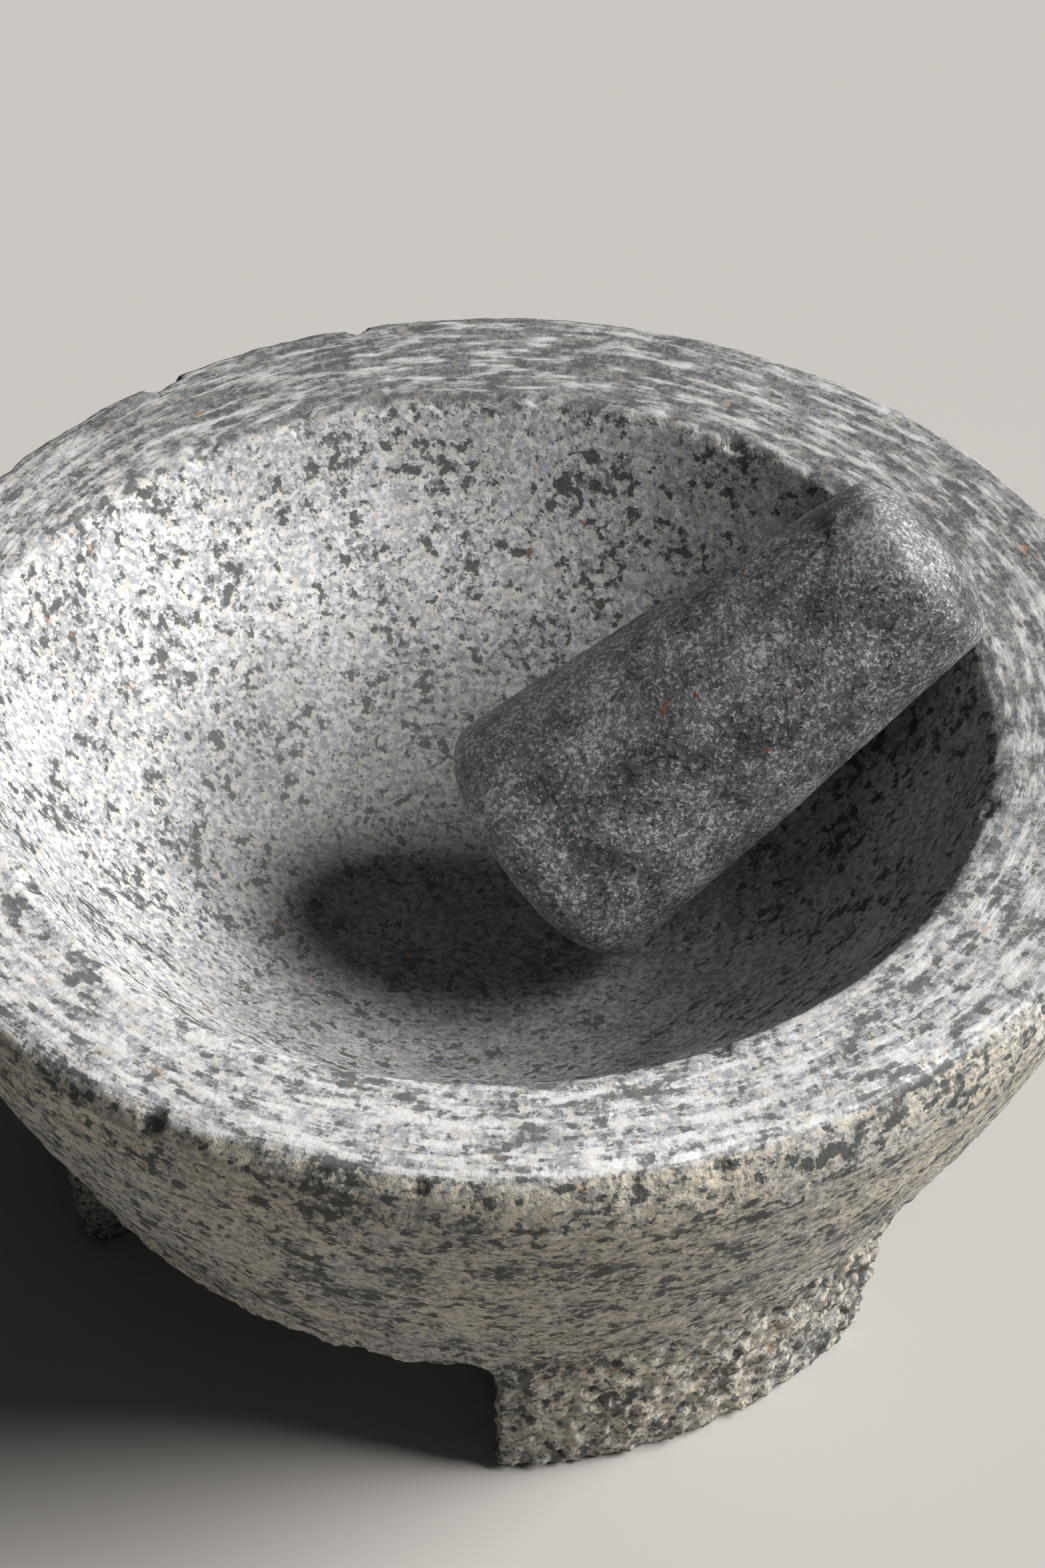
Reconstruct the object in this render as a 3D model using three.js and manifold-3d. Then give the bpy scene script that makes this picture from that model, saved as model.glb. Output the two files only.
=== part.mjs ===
import * as THREE from 'three';
import { mergeVertices } from 'three/addons/utils/BufferGeometryUtils.js';
import Module from 'manifold-3d';

// Millimetres, +Z up. The origin is on the mortar's axis at table level, -Y is the front.
const rimHeight = 106;          // table to the flat rim
const openingRadius = 83.4;     // inner lip of the rim
const openingShift = [-3.3, -3.9];  // the hollow was ground slightly off the outside's centre
const bowlDepth = 56.5;           // rim plane down to the middle of the hollow
const bowlPower = 2.4;          // 2 is a paraboloid, more gives a flatter floor and steeper wall
const lipRound = 2.2;           // small rounding of the rim's inner edge

// Outside of the block from the flat rim down to the table: [radius, height].
const outerProfile = [
  [103.2, 106.0], [105.0, 105.2], [106.6, 103.2], [107.6, 99.2], [107.3, 93.6],
  [104.6, 85.2], [101.8, 76.6], [98.6, 68.2], [94.8, 59.8], [91.0, 51.4],
  [87.2, 43.4], [84.4, 37.0], [82.8, 32.4], [81.4, 24.0], [79.9, 11.0], [78.6, 1.6],
];
const footBottomRadius = 77.2;  // outer edge of the foot's flat sole

const footArc = 53;             // degrees of the ring that each foot keeps
const footCentres = [-62.5, 57.5, 177.5];   // degrees from +X
const footInnerRadius = 52;     // the underside is hollowed inside this radius
const notchCorner = 5;          // rounding where a notch's side meets its ceiling

// Ceiling of the gaps between the feet: [radius, height]. It breaks up to the belly outside.
const notchCeiling = [
  [34, 26.0], [60, 26.0], [70, 26.4], [75, 27.4], [78.5, 29.2], [81, 31.4],
  [83.2, 34.0], [96, 36.0],
];

// Pestle: a stubby tapered club that rests on the floor of the hollow and leans on the lip.
const pestleLength = 91.4;
const pestleWideRadius = 24.8;
const pestleNarrowRadius = 16.2;
const pestleBelly = 0.5;        // slight swelling half way along
const wideEndRound = 9.1;
const narrowEndRound = 6.1;
const endPower = 2.6;           // squarer than an ellipse
const pestleFoot = [1.9, -2.4, 68.55];   // centre of the wide end face
const pestleHeading = 17.0;     // degrees from +X towards +Y
const pestleRise = 37.1;        // degrees above the horizontal

const around = 80;              // segments round the mortar
const radians = Math.PI / 180;

const wasm = await Module();
wasm.setup();

function toSolid(geometry) {
  const bare = geometry.clone();
  bare.deleteAttribute('normal');
  bare.deleteAttribute('uv');
  const merged = mergeVertices(bare, 1e-4);
  const mesh = new wasm.Mesh({
    numProp: 3,
    vertProperties: new Float32Array(merged.attributes.position.array),
    triVerts: new Uint32Array(merged.index.array),
  });
  return new wasm.Manifold(mesh);
}

function toGeometry(solid) {
  const mesh = solid.getMesh();
  const geometry = new THREE.BufferGeometry();
  geometry.setAttribute('position', new THREE.BufferAttribute(new Float32Array(mesh.vertProperties), 3));
  geometry.setIndex(new THREE.BufferAttribute(new Uint32Array(mesh.triVerts), 1));
  geometry.computeVertexNormals();
  return geometry;
}

// Turned solid about +Z from [radius, height] points that start and end on the axis.
function turned(points, segments) {
  const outline = points.map(([r, z]) => new THREE.Vector2(r, z));
  const geometry = new THREE.LatheGeometry(outline, segments);
  geometry.rotateX(Math.PI / 2);
  return geometry;
}

function smoothed(points, count) {
  const curve = new THREE.SplineCurve(points.map(([r, z]) => new THREE.Vector2(r, z)));
  return curve.getPoints(count).map((p) => [p.x, p.y]);
}

// The stone before it was hollowed: flat rim, rounded belly and the tapered base ring.
function outerBlock() {
  const side = smoothed(outerProfile, 24).reverse();
  const points = [[0, 0], [footBottomRadius, 0], ...side, [0, rimHeight]];
  return toSolid(turned(points, around));
}

function hollowHeight(radius) {
  const t = Math.min(radius / openingRadius, 1);
  return rimHeight - bowlDepth * (1 - t ** bowlPower);
}

// The grinding hollow, with the rim's inner edge eased over.
function hollowCutter() {
  const points = [[0, rimHeight - bowlDepth]];
  const steps = 12;
  for (let i = 1; i <= steps; i += 1) {
    const radius = (openingRadius - 1.1) * Math.sin((i / steps) * Math.PI / 2);
    points.push([radius, hollowHeight(radius)]);
  }
  points.push([openingRadius - 0.5, rimHeight - lipRound * 0.45]);
  points.push([openingRadius + 0.2, rimHeight - lipRound * 0.12]);
  points.push([openingRadius + 1.2, rimHeight]);
  points.push([openingRadius + 1.2, rimHeight + 8]);
  points.push([0, rimHeight + 8]);
  const geometry = turned(points, around);
  geometry.translate(openingShift[0], openingShift[1], 0);
  return toSolid(geometry);
}

// Shallow domed recess under the block, inside the ring of feet.
function undersideCutter() {
  const r = footInnerRadius;
  const points = [
    [0, -6], [r + 1, -6], [r + 1, 0], [r, 4], [r - 0.8, 16], [r - 2.4, 21.4],
    [r - 6, 24.6], [r - 12, 26.2], [r - 26, 27.2], [0, 27.8],
  ];
  return toSolid(turned(points, 56));
}

function ceilingAt(radius) {
  const rows = notchCeiling;
  let i = 1;
  while (i < rows.length - 1 && rows[i][0] < radius) i += 1;
  const [r0, z0] = rows[i - 1];
  const [r1, z1] = rows[i];
  return z0 + (z1 - z0) * (radius - r0) / (r1 - r0);
}

// One gap between two feet: a sector with radial sides and rounded upper corners.
function notchCutter(centreDegrees) {
  const half = (120 - footArc) / 2 * radians;
  const centre = centreDegrees * radians;
  const radii = notchCeiling.map((row) => row[0]);
  const cornerArc = notchCorner / 78;
  const angles = [];
  for (let i = 0; i <= 5; i += 1) {
    angles.push([-half + cornerArc * (1 - Math.cos(i / 5 * Math.PI / 2)), Math.sin(i / 5 * Math.PI / 2)]);
  }
  for (let i = 1; i < 9; i += 1) angles.push([(-half + cornerArc) * (1 - i / 4.5), 1]);
  for (let i = 5; i >= 0; i -= 1) {
    angles.push([half - cornerArc * (1 - Math.cos(i / 5 * Math.PI / 2)), Math.sin(i / 5 * Math.PI / 2)]);
  }
  const vertices = [];
  const count = angles.length;
  const ring = 2 * count;
  for (const radius of radii) {
    const top = ceilingAt(radius);
    for (const [angle, share] of angles) vertices.push([radius, angle, top - notchCorner * (1 - share)]);
    for (let j = count - 1; j >= 0; j -= 1) vertices.push([radius, angles[j][0], -6]);
  }
  const position = vertices.flatMap(([r, a, z]) => [
    r * Math.cos(centre + a), r * Math.sin(centre + a), z,
  ]);
  const index = [];
  for (let k = 0; k < radii.length - 1; k += 1) {
    for (let j = 0; j < ring; j += 1) {
      const a = k * ring + j;
      const b = k * ring + (j + 1) % ring;
      const c = a + ring;
      const d = b + ring;
      index.push(a, d, b, a, c, d);
    }
  }
  const last = (radii.length - 1) * ring;
  for (let j = 0; j < count - 1; j += 1) {
    const k = ring - 1 - j;
    index.push(j, j + 1, k - 1, j, k - 1, k);
    index.push(last + j, last + k - 1, last + j + 1, last + j, last + k, last + k - 1);
  }
  const geometry = new THREE.BufferGeometry();
  geometry.setAttribute('position', new THREE.Float32BufferAttribute(position, 3));
  geometry.setIndex(index);
  return toSolid(geometry);
}

// Bowl, rim and three feet, carved from one block of stone.
function mortar() {
  let solid = outerBlock().subtract(hollowCutter()).subtract(undersideCutter());
  for (const centre of footCentres) {
    solid = solid.subtract(notchCutter(centre + 60));
  }
  return toGeometry(solid.simplify(0.02));
}

function pestleOutline() {
  const points = [];
  const rounds = 8;
  const radiusAt = (s) => {
    const t = s / pestleLength;
    return pestleWideRadius + (pestleNarrowRadius - pestleWideRadius) * t + pestleBelly * 4 * t * (1 - t);
  };
  const ease = (u) => Math.max(0, 1 - Math.abs(u) ** endPower) ** (1 / endPower);
  for (let i = 0; i <= rounds; i += 1) {
    const u = Math.cos(i / rounds * Math.PI / 2) ** (2 / endPower);
    const s = wideEndRound * (1 - u);
    points.push([radiusAt(s) * ease(u), s]);
  }
  const straight = 6;
  for (let i = 1; i < straight; i += 1) {
    const s = wideEndRound + (pestleLength - wideEndRound - narrowEndRound) * i / straight;
    points.push([radiusAt(s), s]);
  }
  for (let i = rounds; i >= 0; i -= 1) {
    const u = Math.cos(i / rounds * Math.PI / 2) ** (2 / endPower);
    const s = pestleLength - narrowEndRound * (1 - u);
    points.push([radiusAt(s) * ease(u), s]);
  }
  points[0][0] = 0;
  points[points.length - 1][0] = 0;
  return points;
}

// The hand-held grinder, laid in the hollow with its narrow end up over the lip.
function pestle() {
  const geometry = turned(pestleOutline(), 56);
  const heading = pestleHeading * radians;
  const rise = pestleRise * radians;
  const along = new THREE.Vector3(
    Math.cos(rise) * Math.cos(heading), Math.cos(rise) * Math.sin(heading), Math.sin(rise),
  );
  const turn = new THREE.Quaternion().setFromUnitVectors(new THREE.Vector3(0, 0, 1), along);
  geometry.applyQuaternion(turn);
  geometry.translate(...pestleFoot);
  return toGeometry(toSolid(geometry));
}

function part(name, geometry, colour, roughness) {
  const material = new THREE.MeshStandardMaterial({ color: colour, roughness, metalness: 0 });
  material.name = name;
  const mesh = new THREE.Mesh(geometry, material);
  mesh.name = name;
  return mesh;
}

const molcajete = new THREE.Group();
molcajete.name = 'molcajete';
molcajete.add(part('mortar', mortar(), 0xc9c4bb, 0.85));
molcajete.add(part('pestle', pestle(), 0x6c6c6b, 0.6));

export default molcajete;
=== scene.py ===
import bpy, math, random
import numpy as np
from mathutils import Matrix, Vector, noise


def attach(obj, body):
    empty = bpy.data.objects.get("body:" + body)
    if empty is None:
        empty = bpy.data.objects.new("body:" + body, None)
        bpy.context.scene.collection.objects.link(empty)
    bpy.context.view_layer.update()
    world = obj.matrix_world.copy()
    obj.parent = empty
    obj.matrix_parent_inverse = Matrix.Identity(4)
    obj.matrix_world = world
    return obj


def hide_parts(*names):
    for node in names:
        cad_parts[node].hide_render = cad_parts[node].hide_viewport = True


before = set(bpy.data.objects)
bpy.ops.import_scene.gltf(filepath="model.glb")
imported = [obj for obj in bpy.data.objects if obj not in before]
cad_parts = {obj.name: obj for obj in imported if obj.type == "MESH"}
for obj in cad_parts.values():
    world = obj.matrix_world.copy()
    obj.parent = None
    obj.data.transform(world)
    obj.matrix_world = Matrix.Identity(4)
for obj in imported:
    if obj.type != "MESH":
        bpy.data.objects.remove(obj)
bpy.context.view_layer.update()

# Molcajete: a granite mortar on three feet and its loose dark granite pestle. Metres, +Z up, -Y is the front.
mm = 0.001

def srgb(hexColour):
    def lin(c):
        return c / 12.92 if c <= 0.04045 else ((c + 0.055) / 1.055) ** 2.4
    return tuple(lin(int(hexColour[i:i + 2], 16) / 255) for i in (0, 2, 4)) + (1.0,)


def addNode(tree, kind, inputs=None, **settings):
    # inputs go by name or by place among the live ones; a node given as a value means its first live output
    node = tree.nodes.new("ShaderNode" + kind)
    for name, value in settings.items():
        setattr(node, name, value)
    live = [socket for socket in node.inputs if socket.enabled]
    for key, value in (inputs or {}).items():
        socket = live[key] if isinstance(key, int) else next(s for s in live if s.name == key)
        if isinstance(value, bpy.types.Node):
            value = next(output for output in value.outputs if output.enabled)
        if isinstance(value, bpy.types.NodeSocket):
            tree.links.new(value, socket)
        else:
            socket.default_value = value
    return node


def islands(tree, place, sizeMm, low, high, lean=None, detail=3.0, breakUp=0.6):
    # mineral islands about sizeMm across: 0 outside, 1 inside, and more of them where lean is high
    level = addNode(tree, "TexNoise", {"Vector": place, "Scale": 1 / (sizeMm * mm), "Detail": detail,
                    "Roughness": breakUp})
    if lean:
        level = addNode(tree, "Math", {0: level, 1: lean}, operation="ADD")
    return addNode(tree, "MapRange", {"Value": level, "From Min": low, "From Max": high},
                   interpolation_type="SMOOTHSTEP")


def smooth(value, low, high):
    t = np.clip((value - low) / (high - low), 0.0, 1.0)
    return t * t * (3 - 2 * t)


def noiseField(points, sizeMm, octaves=1, shift=0.0):
    # Perlin noise, about -1 to 1, whose lumps are sizeMm across; shift keeps two fields of one size apart
    scale = 1 / (sizeMm * mm)
    move = Vector((shift, shift * 1.7, -shift * 0.6))
    out = np.empty(len(points))
    for i, p in enumerate(points):
        q = Vector((p[0] * scale, p[1] * scale, p[2] * scale)) + move
        out[i] = noise.noise(q) if octaves == 1 else noise.fractal(q, 0.9, 2.1, octaves)
    return out


def cellField(points, sizeMm, shift=0.0):
    # distance to the nearest grain centre, 0 to about 1 grain
    scale = 1 / (sizeMm * mm)
    near = np.empty(len(points))
    for i, p in enumerate(points):
        q = Vector((p[0] * scale + shift, p[1] * scale - shift, p[2] * scale + shift * 0.5))
        near[i] = noise.voronoi(q)[0][0]
    return near


def copyOfNode(nodeName, pieceName):
    source = bpy.data.objects[nodeName]
    deps = bpy.context.evaluated_depsgraph_get()
    mesh = bpy.data.meshes.new_from_object(source.evaluated_get(deps))
    mesh.transform(source.matrix_world)
    mesh.materials.clear()
    piece = bpy.data.objects.new(pieceName, mesh)
    bpy.context.scene.collection.objects.link(piece)
    return piece


def remeshed(piece, voxelMm, smoothTimes):
    # even quads small enough to carry the tool marks, with the cut edges eased over
    grid = piece.modifiers.new("grid", "REMESH")
    grid.mode = "VOXEL"
    grid.voxel_size = voxelMm * mm
    ease = piece.modifiers.new("ease", "SMOOTH")
    ease.factor = 0.5
    ease.iterations = smoothTimes
    deps = bpy.context.evaluated_depsgraph_get()
    mesh = bpy.data.meshes.new_from_object(piece.evaluated_get(deps))
    piece.modifiers.clear()
    piece.data = mesh
    return piece


def readPoints(mesh):
    points = np.empty(len(mesh.vertices) * 3)
    normals = np.empty(len(mesh.vertices) * 3)
    mesh.vertices.foreach_get("co", points)
    mesh.vertices.foreach_get("normal", normals)
    return points.reshape(-1, 3), normals.reshape(-1, 3)


def writePoints(mesh, points):
    mesh.vertices.foreach_set("co", points.astype(np.float32).ravel())
    mesh.update()


def addMask(mesh, name, values):
    layer = mesh.attributes.new(name, "FLOAT", "POINT")
    layer.data.foreach_set("value", np.clip(values, 0, 1).astype(np.float32))


mortarSpec = {
    "voxel": 0.85,            # mm between mesh points
    "quickTimes": 2.2,
    "easePasses": 3,
    "rimHeight": 106.0,       # mm, the flat rim
    "openingRadius": 83.4,    # mm, inner lip
    "openingShift": (-3.3, -3.9),
    "recessTop": 42.0,        # mm, above the recess and below the hollow's floor
    "footTop": 34.0,          # mm, where the belly turns into the base ring
    # the lip's bays and swells: [degrees from +X, half width in degrees, mm outward]
    "lipBays": ((165, 20, 3.4), (-150, 9, -1.2), (48, 12, 0.8), (88, 12, -0.9)),
    "handWobble": 0.22,       # mm, slow waviness of the hand-dressed outside
    "hollowWobble": 0.22,     # mm
    "rimWobble": 0.18,        # mm
    "wallPits": 0.42,         # mm, pick marks on the belly
    "footPits": 1.05,         # mm, coarse dressing of the feet
    "hollowPecks": 0.12,      # mm, fine pecking left in the ground hollow
    "rimRings": 0.05,         # mm, rings left by grinding the rim flat
    "ringSpacing": 2.9,       # mm
    "pickSpacing": 5.2,       # mm between blows of the point
    "grainSize": 4.2,         # mm, broken crystal
    "fineSize": 2.1,          # mm
    "soleRagged": 1.3,        # mm lost from the soles' edges
    "fullerEdge": (-142, 34, 2.6),   # degrees from +X, half width in degrees, mm outward
    "arrisRagged": 0.3,       # mm
    "edgeNicks": 46,
    "lipNicks": 30,
    "seed": 11,
}

# Knocks out of the edges: [degrees from +X, radius mm, height mm, width mm, depth mm]
edgeChips = [
    (128, 106.8, 104.5, 9.0, 2.4), (107, 106.8, 104.6, 8.0, 2.0), (151, 106.9, 104.8, 5.0, 1.3),
    (86, 107.0, 104.9, 4.0, 1.0), (62, 107.0, 104.8, 5.0, 1.0), (-118, 106.8, 104.6, 6.0, 1.1),
    (-72, 107.0, 104.6, 5.0, 1.0), (-96, 107.0, 104.8, 4.0, 0.9), (-33, 106.8, 104.5, 7.0, 1.4),
    (14, 106.9, 104.5, 6.0, 1.5), (-150, 106.8, 104.4, 7.0, 1.6), (178, 106.9, 104.6, 6.0, 1.3),
]
lipChips = [
    (128, 84.0, 105.2, 7.0, 0.8), (115, 83.8, 105.2, 7.0, 0.7), (97, 83.4, 105.7, 4.0, 0.5),
    (163, 86.2, 105.6, 6.0, 0.7), (-148, 82.4, 105.7, 5.0, 1.0), (-64, 83.4, 105.8, 4.0, 0.7),
    (-15, 83.4, 105.7, 4.5, 0.8), (60, 83.5, 105.7, 5.0, 0.9),
]


def chipDent(points, chips, centre, seedShift):
    # how far each point is knocked back, in mm; ragged because the radius follows the grain
    dent = np.zeros(len(points))
    for number, (degrees, radius, height, width, depth) in enumerate(chips):
        angle = math.radians(degrees)
        middle = np.array([centre[0] + radius * math.cos(angle),
                           centre[1] + radius * math.sin(angle), height]) * mm
        away = points - middle
        distance = np.linalg.norm(away, axis=1) / mm
        near = distance < width * 1.3
        if not near.any():
            continue
        ragged = 1 + 0.45 * noiseField(points[near], 3.2, 2, seedShift + number)
        share = 1 - distance[near] / (0.5 * width * 1.15 * ragged)
        dent[near] = np.maximum(dent[near], depth * smooth(share, 0.0, 0.55))
    return dent


def makeMortar():
    spec = mortarSpec
    voxel = spec["voxel"] * 1
    piece = remeshed(copyOfNode("mortar", "mortar_stone"), voxel, spec["easePasses"])
    mesh = piece.data
    points, normals = readPoints(mesh)
    x, y, z = (points / mm).T
    shiftX, shiftY = spec["openingShift"]
    outerR = np.hypot(x, y)
    innerR = np.hypot(x - shiftX, y - shiftY)
    angle = np.degrees(np.arctan2(y - shiftY, x - shiftX))
    top = spec["rimHeight"]

    # which tool worked each stretch of the stone
    up = normals[:, 2]
    hollow = smooth(spec["openingRadius"] + 0.4 - innerR, 0.0, 1.6)
    hollow *= smooth(z, spec["recessTop"], spec["recessTop"] + 2)
    rim = smooth(z, top - 1.6, top - 0.7) * smooth(up, 0.6, 0.9) * (1 - hollow)
    outside = (1 - hollow) * (1 - rim)
    foot = outside * (1 - smooth(z, spec["footTop"] - 7, spec["footTop"] + 5))
    under = foot * smooth(-up, 0.3, 0.7)
    belly = outside * (1 - foot)
    print("mortar mesh points:", len(points))

    move = np.zeros_like(points)
    radial = np.stack([x / np.maximum(outerR, 1), y / np.maximum(outerR, 1), np.zeros_like(x)], 1)

    # the lip isn't a true circle; most of all it is wider at the back left, as if it was worn back there
    bays = np.zeros_like(x)
    for degrees, halfWidth, outward in spec["lipBays"]:
        gap = (angle - degrees + 180) % 360 - 180
        bays += outward * np.exp(-(gap / halfWidth) ** 2)
    nearLip = smooth(8 - np.abs(innerR - spec["openingRadius"]), 0, 6) * smooth(z, top - 4, top - 1)
    lipBand = smooth(z, 78, top) * np.maximum(hollow, nearLip)
    outFromHollow = np.stack([(x - shiftX) / np.maximum(innerR, 1), (y - shiftY) / np.maximum(innerR, 1),
                              np.zeros_like(x)], 1)
    move += outFromHollow * (bays * lipBand)[:, None]

    # slow waviness of a hand-dressed block
    slow = noiseField(points, 60, 1, 3.1) + 0.5 * noiseField(points, 26, 1, 7.7)
    move += radial * (spec["handWobble"] * 1.6 * slow * (belly + foot))[:, None]
    hollowSlow = noiseField(points, 30, 1, 5.5)
    move += normals * (spec["hollowWobble"] * hollowSlow * hollow)[:, None]
    rimSlow = noiseField(points, 34, 1, 9.2)
    move[:, 2] += spec["rimWobble"] * rimSlow * rim

    # pick marks: shallow dishes on the belly, coarse broken grain on the feet
    near = cellField(points, spec["pickSpacing"], 1.3)
    dishes = smooth(near, 0.05, 0.75)
    grain = noiseField(points, spec["grainSize"], 3, 2.2)
    fine = noiseField(points, spec["fineSize"], 2, 4.4)
    lower = 1 - smooth(z, 36, 84)
    bellyDepth = spec["wallPits"] * (0.55 + 0.9 * lower)
    bellyMove = bellyDepth * (0.55 * dishes + 0.75 * grain + 0.35 * fine - 0.35)
    move += normals * (bellyMove * belly)[:, None]
    broken = np.abs(noiseField(points, 6.0, 3, 8.1))
    pits = smooth(0.32 - near, 0.0, 0.3)
    footMove = spec["footPits"] * (0.7 * grain - 0.8 * broken + 0.9 * fine - 0.6 * pits + 0.1)
    ragged = smooth(7 - z, 0, 6) * np.maximum(noiseField(points, 5.0, 3, 14.0), -0.2)
    footMove -= spec["soleRagged"] * ragged
    move += normals * (footMove * foot * (1 - 0.6 * under))[:, None]

    # the outer edge stands fuller at the front left, as if less was dressed away there
    fullDegrees, fullHalf, fullOut = spec["fullerEdge"]
    edge = smooth(z, 97, 103) * smooth(outerR, 99, 103) * (1 - smooth(z, top + 0.5, top + 1))
    plump = np.exp(-(((np.degrees(np.arctan2(y, x)) - fullDegrees) / fullHalf) ** 2))
    move += radial * (fullOut * edge * plump)[:, None]

    # fine pecking in the hollow and grinding rings on the rim
    move += normals * (spec["hollowPecks"] * (fine + 0.6 * grain) * hollow)[:, None]
    rings = np.sin(outerR * 2 * math.pi / spec["ringSpacing"] + 1.5 * noiseField(points, 40, 1, 6.1))
    move[:, 2] += spec["rimRings"] * rings * rim

    # ragged edges: the arris outside and the lip inside
    arris = smooth(z, top - 8, top - 2) * smooth(outerR, 98, 104)
    arrisNoise = noiseField(points, 7, 3, 1.9) - 0.25
    move += normals * (spec["arrisRagged"] * arrisNoise * arris)[:, None]
    knocked = chipDent(points, edgeChips, (0, 0), 20)
    lipKnock = chipDent(points, lipChips, spec["openingShift"], 60)
    move -= radial * (knocked * 0.75)[:, None]
    move[:, 2] -= knocked * 0.75
    move += outFromHollow * (lipKnock * 0.8)[:, None]
    move[:, 2] -= lipKnock * 0.7

    # small random nicks along the outer arris and the lip
    dice = random.Random(spec["seed"])
    nicks = [(dice.uniform(-180, 180), 107.0, 104.9, dice.uniform(2.4, 4.2), dice.uniform(0.4, 0.9))
             for _ in range(spec["edgeNicks"])]
    lipNicks = [(dice.uniform(-180, 180), 83.9, 105.8, dice.uniform(2.2, 3.6), dice.uniform(0.3, 0.6))
                for _ in range(spec["lipNicks"])]
    move -= radial * (chipDent(points, nicks, (0, 0), 120) * 0.7)[:, None]
    move[:, 2] -= chipDent(points, lipNicks, spec["openingShift"], 220) * 0.8

    points = points + move * mm
    points[:, 2] = np.maximum(points[:, 2], 0.0)
    points[z < 0.6, 2] = 0.0   # the soles stand flat on the floor
    writePoints(mesh, points)
    # the chips are drawn dark, as if the stone broke where mica lay thick: a guess
    pocket = np.clip((knocked + 1.5 * lipKnock) / 1.2, 0, 1)
    # painted shade, with random patches: the rim darkened toward its back and right, the hollow toward its
    # floor
    patchy = 0.25 * noiseField(points, 28, 2, 31.0)
    paintedShadeAndPatches = rim * smooth(y + 0.6 * x, -60, 70) + hollow * (1 - smooth(z, 50, 92)) + patchy * (rim + hollow)
    for name, values in (("rim", rim), ("hollow", hollow), ("belly", belly), ("foot", foot),
                         ("pocket", pocket), ("paintedShadeAndPatches", paintedShadeAndPatches)):
        addMask(mesh, name, values)
    mesh.shade_smooth()
    mesh.materials.append(paleGranite())
    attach(piece, "mortar")
    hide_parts("mortar")


pestleSpec = {
    "voxel": 0.75,       # mm between mesh points
    "quickTimes": 2,
    "easePasses": 5,
    "lumps": 0.35,       # mm, slow unevenness of a hand-shaped club
    "orangePeel": 0.07,  # mm, what tumbling leaves of the pecking
    "pitDepth": 0.22,    # mm, grains plucked out
    "pitShare": 0.16,
    "pitSize": 3.4,      # mm between pits
    "flatDepth": 0.55,   # mm, long flats left from shaping the club
    "flats": (118, 171, 236, 305, 20, 68),   # degrees round the club's axis
    "flatHalf": 0.3,     # radians, half the width of a flat
}


def makePestle():
    spec = pestleSpec
    voxel = spec["voxel"] * 1
    piece = remeshed(copyOfNode("pestle", "pestle_stone"), voxel, spec["easePasses"])
    mesh = piece.data
    points, normals = readPoints(mesh)
    print("pestle mesh points:", len(points))
    lumps = noiseField(points, 24, 1, 12.0) + 0.5 * noiseField(points, 11, 1, 15.0) - 0.35
    move = spec["lumps"] * lumps
    move += spec["orangePeel"] * noiseField(points, 2.2, 2, 17.0)
    ends = [points[points[:, 2].argmin()], points[points[:, 2].argmax()]]
    middle = points.mean(0)
    axis = Vector(ends[1] - ends[0]).normalized()
    side = axis.cross(Vector((0, 0, 1))).normalized()
    over = side.cross(axis)
    away = points - middle
    turn = np.arctan2(away @ np.array(over), away @ np.array(side))
    for number, degrees in enumerate(spec["flats"]):
        gap = (turn - math.radians(degrees) + math.pi) % (2 * math.pi) - math.pi
        depth = spec["flatDepth"] * (0.6 + 0.4 * (number % 2))   # every other flat is shallower
        move -= depth * np.exp(-(gap / spec["flatHalf"]) ** 2)
    near = cellField(points, spec["pitSize"], 4.7)
    chosen = smooth(noiseField(points, 3.0, 1, 19.0), 0.5 - spec["pitShare"], 0.5)
    move -= spec["pitDepth"] * chosen * smooth(0.5 - near, 0.0, 0.35)
    writePoints(mesh, points + normals * (move * mm)[:, None])
    # paler at both ends' edges, taken to be wear: a guess; paler underneath and on top, toward the left, is
    # painted light
    along = (away @ np.array(axis)) / mm
    half = along.max()
    wearAndPaintedLight = 0.3 * smooth(along, half - 9, half - 1) + 0.35 * smooth(-along, half - 22, half - 2)
    wearAndPaintedLight += 0.35 * smooth(-normals[:, 2], -0.5, 0.6)
    wearAndPaintedLight += 0.4 * smooth(normals[:, 2] - 0.5 * normals[:, 0], 0.5, 1.1)
    addMask(mesh, "wearAndPaintedLight", wearAndPaintedLight + 0.25 * noiseField(points, 12, 2, 23.0))
    mesh.shade_smooth()
    mesh.materials.append(darkGranite())
    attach(piece, "pestle")
    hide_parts("pestle")


paleSpec = {
    # the grey multiplied over the back of the rim and deep in the hollow is painted shade
    "feldspar": "dadadb", "quartz": "a4a7ab", "cream": "dcd6c9", "greyMica": "878a8b",
    "mica": "353836", "dust": "e6e6e4", "skin": "e9dfcd", "shadeGrey": "a6a5a4", "rust": "a07a5c",
    "grainMm": 1.3, "blotchMm": 2.5, "dotMm": 1.1, "clusterMm": 9.0, "cloudMm": 30.0,
    "crystalMm": 1.5, "rustMm": 4.5,
    # drawn out by the grinder round the axis
    "turnRadiusMm": 95.0, "streakLongMm": 8.0, "streakWideMm": 1.7,
    "ringPull": 0.62, "wallPull": 0.3, "hollowPull": 0.12,
    # how much more mica there is: in clusters, on picked stone, feet, hollow and chips
    "clusterLean": 0.36, "pickedLean": 0.02, "footLean": 0.02, "hollowLean": 0.006, "pocketLean": 0.13,
    "creamShare": 0.6, "borderShare": 0.55, "dotShare": 0.62, "coreShare": 0.85, "rustShare": 0.5,
    "bruise": 0.25,   # how far grinding whitens the mica on the rim
    "roughRim": 0.68, "roughHollow": 0.74, "roughPicked": 0.9,
    "ior": 1.5, "bumpMm": 0.45,
}


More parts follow.
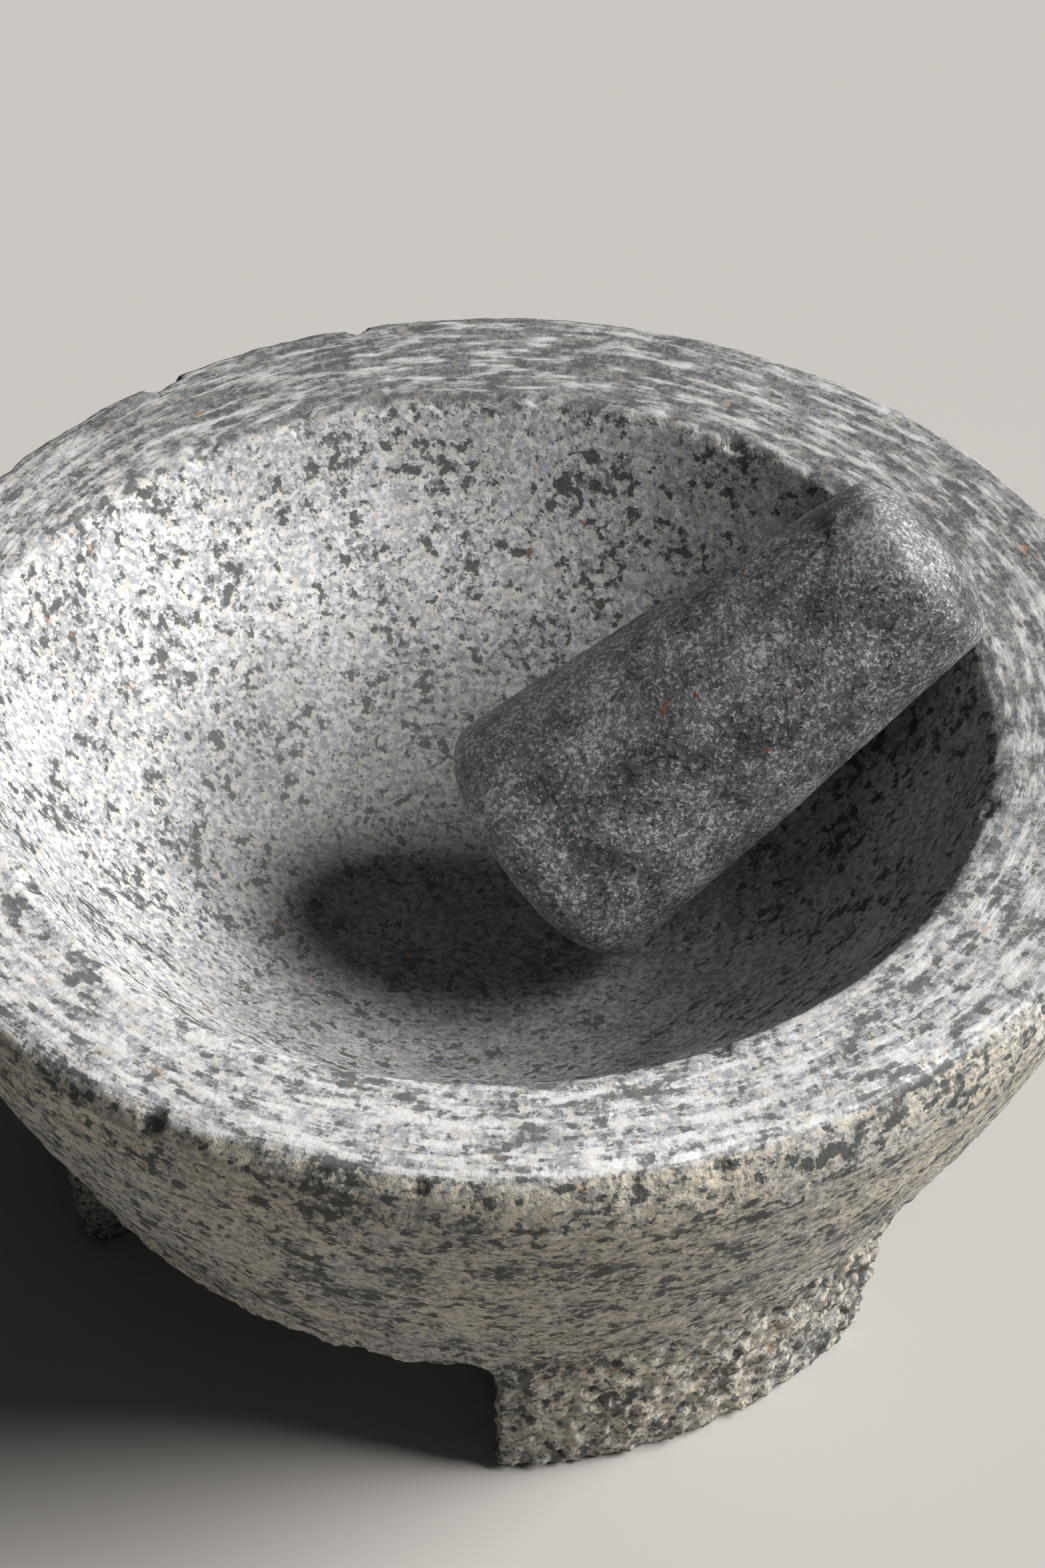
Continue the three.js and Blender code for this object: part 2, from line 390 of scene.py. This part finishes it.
def paleGranite():
    # pale granite, ground on the rim and in the hollow and left as the point picked it outside: a white and
    # grey crystal ground with soft black-green mica blotches, drawn out into rings where it was turned
    spec = paleSpec
    material = bpy.data.materials.new("granite, pale, ground and picked")
    material.use_nodes = True
    tree = material.node_tree
    tree.nodes.clear()
    place = addNode(tree, "TexCoord").outputs["Object"]
    rim = addNode(tree, "Attribute", attribute_name="rim").outputs["Fac"]
    hollow = addNode(tree, "Attribute", attribute_name="hollow").outputs["Fac"]
    belly = addNode(tree, "Attribute", attribute_name="belly").outputs["Fac"]
    foot = addNode(tree, "Attribute", attribute_name="foot").outputs["Fac"]
    pocket = addNode(tree, "Attribute", attribute_name="pocket").outputs["Fac"]
    paintedShadeAndPatches = addNode(tree, "Attribute", attribute_name="paintedShadeAndPatches").outputs["Fac"]
    picked = addNode(tree, "Math", {0: belly, 1: foot}, operation="ADD", use_clamp=True)

    # place round the axis: slow along the turning direction, quick across it
    flat = addNode(tree, "VectorMath", {0: place, 1: (1, 1, 0)}, operation="MULTIPLY")
    spin = addNode(tree, "VectorMath", {0: flat}, operation="NORMALIZE")
    spin = addNode(tree, "VectorMath", {0: spin, "Scale": spec["turnRadiusMm"] / spec["streakLongMm"]},
                   operation="SCALE")
    reach = addNode(tree, "VectorMath", {0: flat}, operation="LENGTH")
    across = addNode(tree, "Math", {0: reach, 1: addNode(tree, "SeparateXYZ", {0: place}).outputs[2]},
                     operation="SUBTRACT")
    across = addNode(tree, "Math", {0: across, 1: 1 / (spec["streakWideMm"] * mm)}, operation="MULTIPLY")
    turned = addNode(tree, "VectorMath", {0: spin, 1: addNode(tree, "CombineXYZ", {2: across})},
                     operation="ADD")
    streak = addNode(tree, "TexNoise", {"Vector": turned, "Scale": 1.0, "Detail": 4.0, "Roughness": 0.62})
    pull = addNode(tree, "Math", {0: rim, 1: spec["ringPull"]}, operation="MULTIPLY")
    pull = addNode(tree, "Math", {0: belly, 1: spec["wallPull"], 2: pull}, operation="MULTIPLY_ADD")
    pull = addNode(tree, "Math", {0: hollow, 1: spec["hollowPull"], 2: pull}, operation="MULTIPLY_ADD")
    streakLean = addNode(tree, "Math", {0: streak, 1: 0.5}, operation="SUBTRACT")
    streakLean = addNode(tree, "Math", {0: streakLean, 1: pull}, operation="MULTIPLY")

    # ground: white feldspar with grey quartz between, clouded over the width of a hand
    cloud = addNode(tree, "TexNoise", {"Vector": place, "Scale": 1 / (spec["cloudMm"] * mm), "Detail": 3.0})
    grains = islands(tree, place, spec["grainMm"], 0.42, 0.62, streakLean)
    body = addNode(tree, "Mix", {"Factor": grains, "A": srgb(spec["quartz"]), "B": srgb(spec["feldspar"])},
                   data_type="RGBA")
    creamShare = islands(tree, place, spec["grainMm"] * 1.9, 0.50, 0.62)
    creamShare = addNode(tree, "Math", {0: creamShare, 1: spec["creamShare"]}, operation="MULTIPLY")
    body = addNode(tree, "Mix", {"Factor": creamShare, "A": body, "B": srgb(spec["cream"])}, data_type="RGBA")
    tone = addNode(tree, "MapRange", {"Value": cloud, "From Min": 0.3, "From Max": 0.7, "To Min": 0.8,
                   "To Max": 1.08})
    toneColour = addNode(tree, "CombineColor", {0: tone, 1: tone, 2: tone})
    body = addNode(tree, "Mix", {"Factor": 1.0, "A": body, "B": toneColour}, data_type="RGBA",
                   blend_type="MULTIPLY")

    # painted shade: the rim greyer toward its back and right and the hollow greyer toward its floor, with
    # random grey patches over both; greyer at the back of the rim and deep in the hollow, taken to be
    # seasoning: a guess
    paintedShadeColour = addNode(tree, "Mix", {"Factor": 1.0, "A": body, "B": srgb(spec["shadeGrey"])}, data_type="RGBA",
                      blend_type="MULTIPLY")
    body = addNode(tree, "Mix", {"Factor": paintedShadeAndPatches, "A": body, "B": paintedShadeColour}, data_type="RGBA")

    # weathered skin, warm and a little brown, on what was never ground
    skinShare = addNode(tree, "MapRange", {"Value": cloud, "From Min": 0.25, "From Max": 0.6, "To Min": 0.35,
                        "To Max": 0.95})
    skinShare = addNode(tree, "Math", {0: skinShare, 1: picked}, operation="MULTIPLY")
    skinned = addNode(tree, "Mix", {"Factor": 1.0, "A": body, "B": srgb(spec["skin"])}, data_type="RGBA",
                      blend_type="MULTIPLY")
    body = addNode(tree, "Mix", {"Factor": skinShare, "A": body, "B": skinned}, data_type="RGBA")

    # mica: grey borders, dark cores and small dots, crowded together in clusters
    cluster = addNode(tree, "TexNoise", {"Vector": place, "Scale": 1 / (spec["clusterMm"] * mm),
                      "Detail": 2.0})
    lean = addNode(tree, "Math", {0: cluster, 1: 0.5}, operation="SUBTRACT")
    lean = addNode(tree, "Math", {0: lean, 1: spec["clusterLean"]}, operation="MULTIPLY")
    lean = addNode(tree, "Math", {0: lean, 1: streakLean}, operation="SUBTRACT")
    for mask, amount in ((picked, "pickedLean"), (foot, "footLean"), (hollow, "hollowLean"),
                         (pocket, "pocketLean")):
        lean = addNode(tree, "Math", {0: mask, 1: spec[amount], 2: lean}, operation="MULTIPLY_ADD")
    border = islands(tree, place, spec["blotchMm"], 0.53, 0.61, lean, 3.0)
    core = islands(tree, place, spec["blotchMm"], 0.57, 0.635, lean, 3.0)
    dots = islands(tree, place, spec["dotMm"], 0.57, 0.64, lean, 2.0)
    borderShare = addNode(tree, "Math", {0: border, 1: spec["borderShare"]}, operation="MULTIPLY")
    body = addNode(tree, "Mix", {"Factor": borderShare, "A": body, "B": srgb(spec["greyMica"])},
                   data_type="RGBA")
    dotShare = addNode(tree, "Math", {0: dots, 1: spec["dotShare"]}, operation="MULTIPLY")
    dark = addNode(tree, "Math", {0: core, 1: spec["coreShare"]}, operation="MULTIPLY")
    dark = addNode(tree, "Math", {0: dark, 1: dotShare}, operation="MAXIMUM")
    bruised = addNode(tree, "Math", {0: rim, 1: -spec["bruise"], 2: 1.0}, operation="MULTIPLY_ADD")
    dark = addNode(tree, "Math", {0: dark, 1: bruised}, operation="MULTIPLY")
    body = addNode(tree, "Mix", {"Factor": dark, "A": body, "B": srgb(spec["mica"])}, data_type="RGBA")

    # white dust bruised into the rim by the grinder, and a few rusted grains
    dustShare = addNode(tree, "MapRange", {"Value": streak, "From Min": 0.50, "From Max": 0.66,
                        "To Max": 0.55})
    dustShare = addNode(tree, "Math", {0: dustShare, 1: rim}, operation="MULTIPLY")
    body = addNode(tree, "Mix", {"Factor": dustShare, "A": body, "B": srgb(spec["dust"])}, data_type="RGBA")
    rustShare = islands(tree, place, spec["rustMm"], 0.70, 0.76, None, 2.0)
    rustShare = addNode(tree, "Math", {0: rustShare, 1: spec["rustShare"]}, operation="MULTIPLY")
    body = addNode(tree, "Mix", {"Factor": rustShare, "A": body, "B": srgb(spec["rust"])}, data_type="RGBA")

    # the ground faces are duller in the hollow than on the rim, and the picked stone is duller still
    gloss = addNode(tree, "Mix", {"Factor": hollow, "A": spec["roughRim"], "B": spec["roughHollow"]})
    gloss = addNode(tree, "Mix", {"Factor": picked, "A": gloss, "B": spec["roughPicked"]})

    # relief: broken crystal everywhere, most on the feet, and grinding rings on the rim
    crystal = addNode(tree, "TexNoise", {"Vector": place, "Scale": 1 / (spec["crystalMm"] * mm),
                      "Detail": 5.0, "Roughness": 0.7})
    share = addNode(tree, "Math", {0: picked, 1: 0.75, 2: 0.45}, operation="MULTIPLY_ADD")
    height = addNode(tree, "Math", {0: crystal, 1: share}, operation="MULTIPLY")
    height = addNode(tree, "Math", {0: streak, 1: pull, 2: height}, operation="MULTIPLY_ADD")
    height = addNode(tree, "Math", {0: dark, 1: -0.12, 2: height}, operation="MULTIPLY_ADD")
    bump = addNode(tree, "Bump", {"Height": height, "Strength": 1.0, "Distance": spec["bumpMm"] * mm})
    shader = addNode(tree, "BsdfPrincipled", {"Base Color": body, "Roughness": gloss, "Normal": bump,
                     "IOR": spec["ior"]})
    addNode(tree, "OutputMaterial", {"Surface": shader})
    return material


darkSpec = {
    "ground": "47484b", "grey": "737477", "light": "bdbebf", "black": "222324",
    # dust is the pale laid on the club's worn ends and, as painted light, on its top and underside
    "dust": "a9a9a9", "rust": "8f5432",
    "fleckMm": 0.85, "cloudMm": 9.0, "rustMm": 4.0,
    "cloudLean": 0.3, "wearAndLightLean": 0.09, "blackLean": -0.8,   # more or fewer flecks
    "dustShare": 0.25, "rustShare": 0.7,
    "roughness": 0.6, "fleckPolish": 0.12, "ior": 1.5, "bumpMm": 0.2,
}


def darkGranite():
    # dark granite, tumbled: fine grey flecks that gather into cloudy paler patches, with a dull frosted face
    spec = darkSpec
    material = bpy.data.materials.new("granite, dark, tumbled")
    material.use_nodes = True
    tree = material.node_tree
    tree.nodes.clear()
    place = addNode(tree, "TexCoord").outputs["Object"]
    wearAndPaintedLight = addNode(tree, "Attribute", attribute_name="wearAndPaintedLight").outputs["Fac"]

    # clouds: wide pale patches broken up by smaller ones, paler still at the club's worn ends and with
    # painted light on its top and underside
    cloud = addNode(tree, "TexNoise", {"Vector": place, "Scale": 1 / (spec["cloudMm"] * mm), "Detail": 5.0,
                    "Roughness": 0.62})
    lean = addNode(tree, "Math", {0: cloud, 1: 0.5}, operation="SUBTRACT")
    lean = addNode(tree, "Math", {0: lean, 1: spec["cloudLean"]}, operation="MULTIPLY")
    lean = addNode(tree, "Math", {0: wearAndPaintedLight, 1: spec["wearAndLightLean"], 2: lean}, operation="MULTIPLY_ADD")

    # flecks: such stone's are 0.2 to 0.6 mm, too fine to show, so they are drawn about 0.9 mm
    greys = islands(tree, place, spec["fleckMm"] * 1.6, 0.44, 0.58, lean, 6.0, 0.75)
    lights = islands(tree, place, spec["fleckMm"], 0.545, 0.61, lean, 6.0, 0.8)
    darkLean = addNode(tree, "Math", {0: lean, 1: spec["blackLean"]}, operation="MULTIPLY")
    blacks = islands(tree, place, spec["fleckMm"] * 1.3, 0.53, 0.60, darkLean, 6.0, 0.75)
    body = addNode(tree, "Mix", {"Factor": greys, "A": srgb(spec["ground"]), "B": srgb(spec["grey"])},
                   data_type="RGBA")
    body = addNode(tree, "Mix", {"Factor": blacks, "A": body, "B": srgb(spec["black"])}, data_type="RGBA")
    body = addNode(tree, "Mix", {"Factor": lights, "A": body, "B": srgb(spec["light"])}, data_type="RGBA")
    # the pale dust goes on by the same mask: wear at the ends, painted light on the top and underside
    dustShare = addNode(tree, "Math", {0: wearAndPaintedLight, 1: spec["dustShare"]}, operation="MULTIPLY")
    body = addNode(tree, "Mix", {"Factor": dustShare, "A": body, "B": srgb(spec["dust"])}, data_type="RGBA")
    rustShare = islands(tree, place, spec["rustMm"], 0.70, 0.75, None, 2.0)
    rustShare = addNode(tree, "Math", {0: rustShare, 1: spec["rustShare"]}, operation="MULTIPLY")
    body = addNode(tree, "Mix", {"Factor": rustShare, "A": body, "B": srgb(spec["rust"])}, data_type="RGBA")

    frost = addNode(tree, "TexNoise", {"Vector": place, "Scale": 1 / (spec["fleckMm"] * mm), "Detail": 4.0,
                    "Roughness": 0.7})
    gloss = addNode(tree, "Math", {0: lights, 1: -spec["fleckPolish"], 2: spec["roughness"]},
                    operation="MULTIPLY_ADD")
    bump = addNode(tree, "Bump", {"Height": frost, "Strength": 1.0, "Distance": spec["bumpMm"] * mm})
    shader = addNode(tree, "BsdfPrincipled", {"Base Color": body, "Roughness": gloss, "Normal": bump,
                     "IOR": spec["ior"]})
    addNode(tree, "OutputMaterial", {"Surface": shader})
    return material


studioSpec = {
    "floor": "bab7b3", "floorRoughness": 0.9, "floorHalf": 6.0,
    "keyStrength": 6.0, "keySpread": 34, "keyFrom": (1.09, 0.04, 0.84), "keyColour": (1.0, 0.985, 0.965),
    "backdrop": "c4c1bd", "skyLight": "dfe7f5", "skyStrength": 0.035,
}


def makeStudio():
    spec = studioSpec
    half = spec["floorHalf"]
    mesh = bpy.data.meshes.new("floor")
    corners = [(-half, -half, 0), (half, -half, 0), (half, half, 0), (-half, half, 0)]
    mesh.from_pydata(corners, [], [(0, 1, 2, 3)])
    floor = bpy.data.objects.new("floor", mesh)
    bpy.context.scene.collection.objects.link(floor)
    # matt paper: one pale tone without sheen, so that only the shadow shows on it
    paper = bpy.data.materials.new("plain matt paper")
    paper.use_nodes = True
    shader = paper.node_tree.nodes["Principled BSDF"]
    shader.inputs["Base Color"].default_value = srgb(spec["floor"])
    shader.inputs["Roughness"].default_value = spec["floorRoughness"]
    mesh.materials.append(paper)

    # one wide soft window from the right; its light is even, so the floor stays plain all round
    data = bpy.data.lights.new("window", "SUN")
    data.energy = spec["keyStrength"]
    data.angle = math.radians(spec["keySpread"])
    data.color = spec["keyColour"]
    window = bpy.data.objects.new("window", data)
    window.location = spec["keyFrom"]
    window.rotation_euler = Vector(spec["keyFrom"]).to_track_quat("Z", "Y").to_euler()
    bpy.context.scene.collection.objects.link(window)

    # a faint sky fills the shade, and past the floor the eye sees plain paper
    world = bpy.data.worlds.new("studio")
    world.use_nodes = True
    tree = world.node_tree
    tree.nodes.clear()
    sky = addNode(tree, "Background", {"Color": srgb(spec["skyLight"]), "Strength": spec["skyStrength"]})
    backdrop = addNode(tree, "Background", {"Color": srgb(spec["backdrop"])})
    seen = addNode(tree, "LightPath").outputs["Is Camera Ray"]
    mixed = addNode(tree, "MixShader", {0: seen, 1: sky, 2: backdrop})
    addNode(tree, "OutputWorld", {"Surface": mixed})
    bpy.context.scene.world = world
    bpy.context.scene.view_settings.view_transform = "Standard"


cameraSpec = {
    "lookAt": (0.0028, -0.0227, 0.106),   # a point in the rim's plane
    "distance": 0.587, "pitch": 43.02, "roll": 1.32,   # degrees down and degrees anticlockwise
    "lens": 84.2, "sensor": 36.0,
}


def makeCamera():
    spec = cameraSpec
    pitch = math.radians(spec["pitch"])
    roll = math.radians(spec["roll"])
    forward = Vector((0, math.cos(pitch), -math.sin(pitch)))
    right = Vector((1, 0, 0))
    up = Vector((0, math.sin(pitch), math.cos(pitch)))
    turnedRight = right * math.cos(roll) + up * math.sin(roll)
    turnedUp = up * math.cos(roll) - right * math.sin(roll)
    data = bpy.data.cameras.new("camera")
    data.lens = spec["lens"]
    data.sensor_fit = "AUTO"
    data.sensor_height = spec["sensor"]
    data.sensor_width = spec["sensor"]
    camera = bpy.data.objects.new("camera", data)
    turn = Matrix((turnedRight, turnedUp, -forward)).transposed()
    stand = Vector(spec["lookAt"]) - forward * spec["distance"]
    camera.matrix_world = Matrix.Translation(stand) @ turn.to_4x4()
    bpy.context.scene.collection.objects.link(camera)
    bpy.context.scene.camera = camera


makeStudio()
print("studio ready")
makeMortar()
print("mortar ready")
makePestle()
print("pestle ready")
makeCamera()
print("camera ready")
